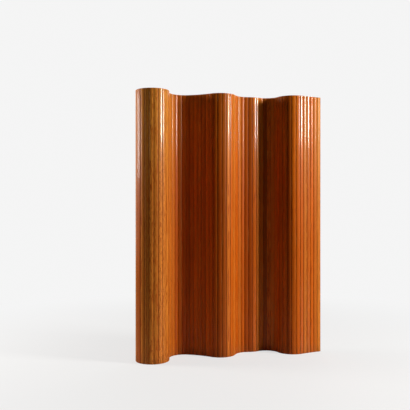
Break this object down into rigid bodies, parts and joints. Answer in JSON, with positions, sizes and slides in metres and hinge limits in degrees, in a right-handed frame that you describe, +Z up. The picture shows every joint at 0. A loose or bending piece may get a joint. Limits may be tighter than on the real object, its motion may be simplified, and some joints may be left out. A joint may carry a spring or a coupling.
{
  "type": "flexible slat screen",
  "caption": "Free-standing room divider of upright wooden slats strung side by side on steel wires, so that the row bends to any curve and rolls up.",
  "frame": {"origin": "middle of the screen's outline on the floor, as it stands in the pictured curve", "axes": "+Z up along the slats, +X from the left to the right end of the screen, -Y towards the front"},
  "size_m": [1.0688, 0.3327, 1.5],
  "materials": {
    "wood": "glossy varnish over pitch pine",
    "wire": "drawn steel",
    "ferrule": "crimped brass"
  },
  "bodies": {
    "slat_body_01": {"slat_01": "wood", "ferrules_left": "ferrule"},
    "slat_body_02": {"slat_02": "wood"},
    "slat_body_03": {"slat_03": "wood"},
    "slat_body_04": {"slat_04": "wood"},
    "slat_body_05": {"slat_05": "wood"},
    "slat_body_06": {"slat_06": "wood"},
    "slat_body_07": {"slat_07": "wood"},
    "slat_body_08": {"slat_08": "wood"},
    "slat_body_09": {"slat_09": "wood"},
    "slat_body_10": {"slat_10": "wood"},
    "slat_body_11": {"slat_11": "wood"},
    "slat_body_12": {"slat_12": "wood"},
    "slat_body_13": {"slat_13": "wood"},
    "slat_body_14": {"slat_14": "wood"},
    "slat_body_15": {"slat_15": "wood"},
    "slat_body_16": {"slat_16": "wood"},
    "slat_body_17": {"slat_17": "wood"},
    "slat_body_18": {"slat_18": "wood"},
    "slat_body_19": {"slat_19": "wood"},
    "slat_body_20": {"slat_20": "wood"},
    "slat_body_21": {"slat_21": "wood"},
    "slat_body_22": {"slat_22": "wood"},
    "slat_body_23": {"slat_23": "wood"},
    "slat_body_24": {"slat_24": "wood"},
    "slat_body_25": {"slat_25": "wood"},
    "slat_body_26": {"slat_26": "wood"},
    "slat_body_27": {"slat_27": "wood"},
    "slat_body_28": {"slat_28": "wood"},
    "slat_body_29": {"slat_29": "wood", "wires": "wire"},
    "slat_body_30": {"slat_30": "wood"},
    "slat_body_31": {"slat_31": "wood"},
    "slat_body_32": {"slat_32": "wood"},
    "slat_body_33": {"slat_33": "wood"},
    "slat_body_34": {"slat_34": "wood"},
    "slat_body_35": {"slat_35": "wood"},
    "slat_body_36": {"slat_36": "wood"},
    "slat_body_37": {"slat_37": "wood"},
    "slat_body_38": {"slat_38": "wood"},
    "slat_body_39": {"slat_39": "wood"},
    "slat_body_40": {"slat_40": "wood"},
    "slat_body_41": {"slat_41": "wood"},
    "slat_body_42": {"slat_42": "wood"},
    "slat_body_43": {"slat_43": "wood"},
    "slat_body_44": {"slat_44": "wood"},
    "slat_body_45": {"slat_45": "wood"},
    "slat_body_46": {"slat_46": "wood"},
    "slat_body_47": {"slat_47": "wood"},
    "slat_body_48": {"slat_48": "wood"},
    "slat_body_49": {"slat_49": "wood"},
    "slat_body_50": {"slat_50": "wood"},
    "slat_body_51": {"slat_51": "wood"},
    "slat_body_52": {"slat_52": "wood"},
    "slat_body_53": {"slat_53": "wood"},
    "slat_body_54": {"slat_54": "wood"},
    "slat_body_55": {"slat_55": "wood"},
    "slat_body_56": {"slat_56": "wood"},
    "slat_body_57": {"slat_57": "wood", "ferrules_right": "ferrule"}
  },
  "joints": [
    {"name": "hinge_01", "type": "hinge", "parent": "slat_body_02", "child": "slat_body_01", "pos_m": [-0.52505, -0.09933, 0], "axis": [0, 0, -1], "range_deg": [-34, 2], "deforming": ["wires"]},
    {"name": "hinge_02", "type": "hinge", "parent": "slat_body_03", "child": "slat_body_02", "pos_m": [-0.51431, -0.12135, 0], "axis": [0, 0, -1], "range_deg": [-34, 2], "deforming": ["wires"]},
    {"name": "hinge_03", "type": "hinge", "parent": "slat_body_04", "child": "slat_body_03", "pos_m": [-0.49791, -0.13956, 0], "axis": [0, 0, -1], "range_deg": [-34, 2], "deforming": ["wires"]},
    {"name": "hinge_04", "type": "hinge", "parent": "slat_body_05", "child": "slat_body_04", "pos_m": [-0.47713, -0.15254, 0], "axis": [0, 0, -1], "range_deg": [-34, 2], "deforming": ["wires"]},
    {"name": "hinge_05", "type": "hinge", "parent": "slat_body_06", "child": "slat_body_05", "pos_m": [-0.45358, -0.1593, 0], "axis": [0, 0, -1], "range_deg": [-34, 2], "deforming": ["wires"]},
    {"name": "hinge_06", "type": "hinge", "parent": "slat_body_07", "child": "slat_body_06", "pos_m": [-0.42908, -0.1593, 0], "axis": [0, 0, -1], "range_deg": [-34, 2], "deforming": ["wires"]},
    {"name": "hinge_07", "type": "hinge", "parent": "slat_body_08", "child": "slat_body_07", "pos_m": [-0.40553, -0.15254, 0], "axis": [0, 0, -1], "range_deg": [-34, 2], "deforming": ["wires"]},
    {"name": "hinge_08", "type": "hinge", "parent": "slat_body_09", "child": "slat_body_08", "pos_m": [-0.38476, -0.13956, 0], "axis": [0, 0, -1], "range_deg": [-34, 2], "deforming": ["wires"]},
    {"name": "hinge_09", "type": "hinge", "parent": "slat_body_10", "child": "slat_body_09", "pos_m": [-0.36836, -0.12135, 0], "axis": [0, 0, -1], "range_deg": [-34, 2], "deforming": ["wires"]},
    {"name": "hinge_10", "type": "hinge", "parent": "slat_body_11", "child": "slat_body_10", "pos_m": [-0.35762, -0.09933, 0], "axis": [0, 0, -1], "range_deg": [-34, 2], "deforming": ["wires"]},
    {"name": "hinge_11", "type": "hinge", "parent": "slat_body_12", "child": "slat_body_11", "pos_m": [-0.35337, -0.07521, 0], "axis": [0, 0, -1], "range_deg": [-34, 2], "deforming": ["wires"]},
    {"name": "hinge_12", "type": "hinge", "parent": "slat_body_13", "child": "slat_body_12", "pos_m": [-0.35593, -0.05084, 0], "axis": [0, 0, 1], "range_deg": [-19, 17], "deforming": ["wires"]},
    {"name": "hinge_13", "type": "hinge", "parent": "slat_body_14", "child": "slat_body_13", "pos_m": [-0.35806, -0.02643, 0], "axis": [0, 0, 1], "range_deg": [-33, 3], "deforming": ["wires"]},
    {"name": "hinge_14", "type": "hinge", "parent": "slat_body_15", "child": "slat_body_14", "pos_m": [-0.35381, -0.00231, 0], "axis": [0, 0, 1], "range_deg": [-33, 3], "deforming": ["wires"]},
    {"name": "hinge_15", "type": "hinge", "parent": "slat_body_16", "child": "slat_body_15", "pos_m": [-0.34346, 0.0199, 0], "axis": [0, 0, 1], "range_deg": [-33, 3], "deforming": ["wires"]},
    {"name": "hinge_16", "type": "hinge", "parent": "slat_body_17", "child": "slat_body_16", "pos_m": [-0.32771, 0.03867, 0], "axis": [0, 0, 1], "range_deg": [-33, 3], "deforming": ["wires"]},
    {"name": "hinge_17", "type": "hinge", "parent": "slat_body_18", "child": "slat_body_17", "pos_m": [-0.30764, 0.05272, 0], "axis": [0, 0, 1], "range_deg": [-33, 3], "deforming": ["wires"]},
    {"name": "hinge_18", "type": "hinge", "parent": "slat_body_19", "child": "slat_body_18", "pos_m": [-0.28462, 0.0611, 0], "axis": [0, 0, 1], "range_deg": [-33, 3], "deforming": ["wires"]},
    {"name": "hinge_19", "type": "hinge", "parent": "slat_body_20", "child": "slat_body_19", "pos_m": [-0.26021, 0.06323, 0], "axis": [0, 0, 1], "range_deg": [-33, 3], "deforming": ["wires"]},
    {"name": "hinge_20", "type": "hinge", "parent": "slat_body_21", "child": "slat_body_20", "pos_m": [-0.23608, 0.05898, 0], "axis": [0, 0, 1], "range_deg": [-22, 14], "deforming": ["wires"]},
    {"name": "hinge_21", "type": "hinge", "parent": "slat_body_22", "child": "slat_body_21", "pos_m": [-0.21231, 0.05305, 0], "axis": [0, 0, 1], "range_deg": [-22, 14], "deforming": ["wires"]},
    {"name": "hinge_22", "type": "hinge", "parent": "slat_body_23", "child": "slat_body_22", "pos_m": [-0.18901, 0.04548, 0], "axis": [0, 0, 1], "range_deg": [-22, 14], "deforming": ["wires"]},
    {"name": "hinge_23", "type": "hinge", "parent": "slat_body_24", "child": "slat_body_23", "pos_m": [-0.16629, 0.0363, 0], "axis": [0, 0, 1], "range_deg": [-22, 14], "deforming": ["wires"]},
    {"name": "hinge_24", "type": "hinge", "parent": "slat_body_25", "child": "slat_body_24", "pos_m": [-0.14427, 0.02556, 0], "axis": [0, 0, 1], "range_deg": [-22, 14], "deforming": ["wires"]},
    {"name": "hinge_25", "type": "hinge", "parent": "slat_body_26", "child": "slat_body_25", "pos_m": [-0.12305, 0.01331, 0], "axis": [0, 0, 1], "range_deg": [-22, 14], "deforming": ["wires"]},
    {"name": "hinge_26", "type": "hinge", "parent": "slat_body_27", "child": "slat_body_26", "pos_m": [-0.10274, -0.00039, 0], "axis": [0, 0, -1], "range_deg": [-34, 2], "deforming": ["wires"]},
    {"name": "hinge_27", "type": "hinge", "parent": "slat_body_28", "child": "slat_body_27", "pos_m": [-0.07944, -0.00796, 0], "axis": [0, 0, -1], "range_deg": [-34, 2], "deforming": ["wires"]},
    {"name": "hinge_28", "type": "hinge", "parent": "slat_body_29", "child": "slat_body_28", "pos_m": [-0.05496, -0.00881, 0], "axis": [0, 0, -1], "range_deg": [-34, 2], "deforming": ["wires"]},
    {"name": "hinge_29", "type": "hinge", "parent": "slat_body_29", "child": "slat_body_30", "pos_m": [-0.03118, -0.00289, 0], "axis": [0, 0, 1], "range_deg": [-34, 2], "deforming": ["wires"]},
    {"name": "hinge_30", "type": "hinge", "parent": "slat_body_30", "child": "slat_body_31", "pos_m": [-0.00997, 0.00936, 0], "axis": [0, 0, 1], "range_deg": [-34, 2], "deforming": ["wires"]},
    {"name": "hinge_31", "type": "hinge", "parent": "slat_body_31", "child": "slat_body_32", "pos_m": [0.00705, 0.02699, 0], "axis": [0, 0, 1], "range_deg": [-34, 2], "deforming": ["wires"]},
    {"name": "hinge_32", "type": "hinge", "parent": "slat_body_32", "child": "slat_body_33", "pos_m": [0.01855, 0.04862, 0], "axis": [0, 0, 1], "range_deg": [-29, 7], "deforming": ["wires"]},
    {"name": "hinge_33", "type": "hinge", "parent": "slat_body_33", "child": "slat_body_34", "pos_m": [0.02572, 0.07205, 0], "axis": [0, 0, -1], "range_deg": [-34, 2], "deforming": ["wires"]},
    {"name": "hinge_34", "type": "hinge", "parent": "slat_body_34", "child": "slat_body_35", "pos_m": [0.03906, 0.0926, 0], "axis": [0, 0, -1], "range_deg": [-34, 2], "deforming": ["wires"]},
    {"name": "hinge_35", "type": "hinge", "parent": "slat_body_35", "child": "slat_body_36", "pos_m": [0.05755, 0.10867, 0], "axis": [0, 0, -1], "range_deg": [-34, 2], "deforming": ["wires"]},
    {"name": "hinge_36", "type": "hinge", "parent": "slat_body_36", "child": "slat_body_37", "pos_m": [0.07976, 0.11903, 0], "axis": [0, 0, -1], "range_deg": [-34, 2], "deforming": ["wires"]},
    {"name": "hinge_37", "type": "hinge", "parent": "slat_body_37", "child": "slat_body_38", "pos_m": [0.10395, 0.12286, 0], "axis": [0, 0, -1], "range_deg": [-21, 15], "deforming": ["wires"]},
    {"name": "hinge_38", "type": "hinge", "parent": "slat_body_38", "child": "slat_body_39", "pos_m": [0.12832, 0.12542, 0], "axis": [0, 0, 1], "range_deg": [-34, 2], "deforming": ["wires"]},
    {"name": "hinge_39", "type": "hinge", "parent": "slat_body_39", "child": "slat_body_40", "pos_m": [0.15104, 0.1346, 0], "axis": [0, 0, 1], "range_deg": [-34, 2], "deforming": ["wires"]},
    {"name": "hinge_40", "type": "hinge", "parent": "slat_body_40", "child": "slat_body_41", "pos_m": [0.17034, 0.14968, 0], "axis": [0, 0, -1], "range_deg": [-35, 1], "deforming": ["wires"]},
    {"name": "hinge_41", "type": "hinge", "parent": "slat_body_41", "child": "slat_body_42", "pos_m": [0.19322, 0.15846, 0], "axis": [0, 0, -1], "range_deg": [-35, 1], "deforming": ["wires"]},
    {"name": "hinge_42", "type": "hinge", "parent": "slat_body_42", "child": "slat_body_43", "pos_m": [0.21766, 0.16017, 0], "axis": [0, 0, -1], "range_deg": [-35, 1], "deforming": ["wires"]},
    {"name": "hinge_43", "type": "hinge", "parent": "slat_body_43", "child": "slat_body_44", "pos_m": [0.24153, 0.15466, 0], "axis": [0, 0, -1], "range_deg": [-35, 1], "deforming": ["wires"]},
    {"name": "hinge_44", "type": "hinge", "parent": "slat_body_44", "child": "slat_body_45", "pos_m": [0.26275, 0.14241, 0], "axis": [0, 0, -1], "range_deg": [-35, 1], "deforming": ["wires"]},
    {"name": "hinge_45", "type": "hinge", "parent": "slat_body_45", "child": "slat_body_46", "pos_m": [0.27945, 0.12449, 0], "axis": [0, 0, -1], "range_deg": [-35, 1], "deforming": ["wires"]},
    {"name": "hinge_46", "type": "hinge", "parent": "slat_body_46", "child": "slat_body_47", "pos_m": [0.29019, 0.10247, 0], "axis": [0, 0, 1], "range_deg": [-34, 2], "deforming": ["wires"]},
    {"name": "hinge_47", "type": "hinge", "parent": "slat_body_47", "child": "slat_body_48", "pos_m": [0.30659, 0.08426, 0], "axis": [0, 0, 1], "range_deg": [-34, 2], "deforming": ["wires"]},
    {"name": "hinge_48", "type": "hinge", "parent": "slat_body_48", "child": "slat_body_49", "pos_m": [0.32737, 0.07128, 0], "axis": [0, 0, 1], "range_deg": [-34, 2], "deforming": ["wires"]},
    {"name": "hinge_49", "type": "hinge", "parent": "slat_body_49", "child": "slat_body_50", "pos_m": [0.35092, 0.06453, 0], "axis": [0, 0, 1], "range_deg": [-34, 2], "deforming": ["wires"]},
    {"name": "hinge_50", "type": "hinge", "parent": "slat_body_50", "child": "slat_body_51", "pos_m": [0.37542, 0.06453, 0], "axis": [0, 0, 1], "range_deg": [-34, 2], "deforming": ["wires"]},
    {"name": "hinge_51", "type": "hinge", "parent": "slat_body_51", "child": "slat_body_52", "pos_m": [0.39897, 0.07128, 0], "axis": [0, 0, 1], "range_deg": [-32, 4], "deforming": ["wires"]},
    {"name": "hinge_52", "type": "hinge", "parent": "slat_body_52", "child": "slat_body_53", "pos_m": [0.42019, 0.08353, 0], "axis": [0, 0, -1], "range_deg": [-19, 17], "deforming": ["wires"]},
    {"name": "hinge_53", "type": "hinge", "parent": "slat_body_53", "child": "slat_body_54", "pos_m": [0.44161, 0.09541, 0], "axis": [0, 0, -1], "range_deg": [-19, 17], "deforming": ["wires"]},
    {"name": "hinge_54", "type": "hinge", "parent": "slat_body_54", "child": "slat_body_55", "pos_m": [0.46325, 0.10691, 0], "axis": [0, 0, -1], "range_deg": [-19, 17], "deforming": ["wires"]},
    {"name": "hinge_55", "type": "hinge", "parent": "slat_body_55", "child": "slat_body_56", "pos_m": [0.48508, 0.11803, 0], "axis": [0, 0, -1], "range_deg": [-19, 17], "deforming": ["wires"]},
    {"name": "hinge_56", "type": "hinge", "parent": "slat_body_56", "child": "slat_body_57", "pos_m": [0.5071, 0.12877, 0], "axis": [0, 0, -1], "range_deg": [-19, 17], "deforming": ["wires"]}
  ]
}
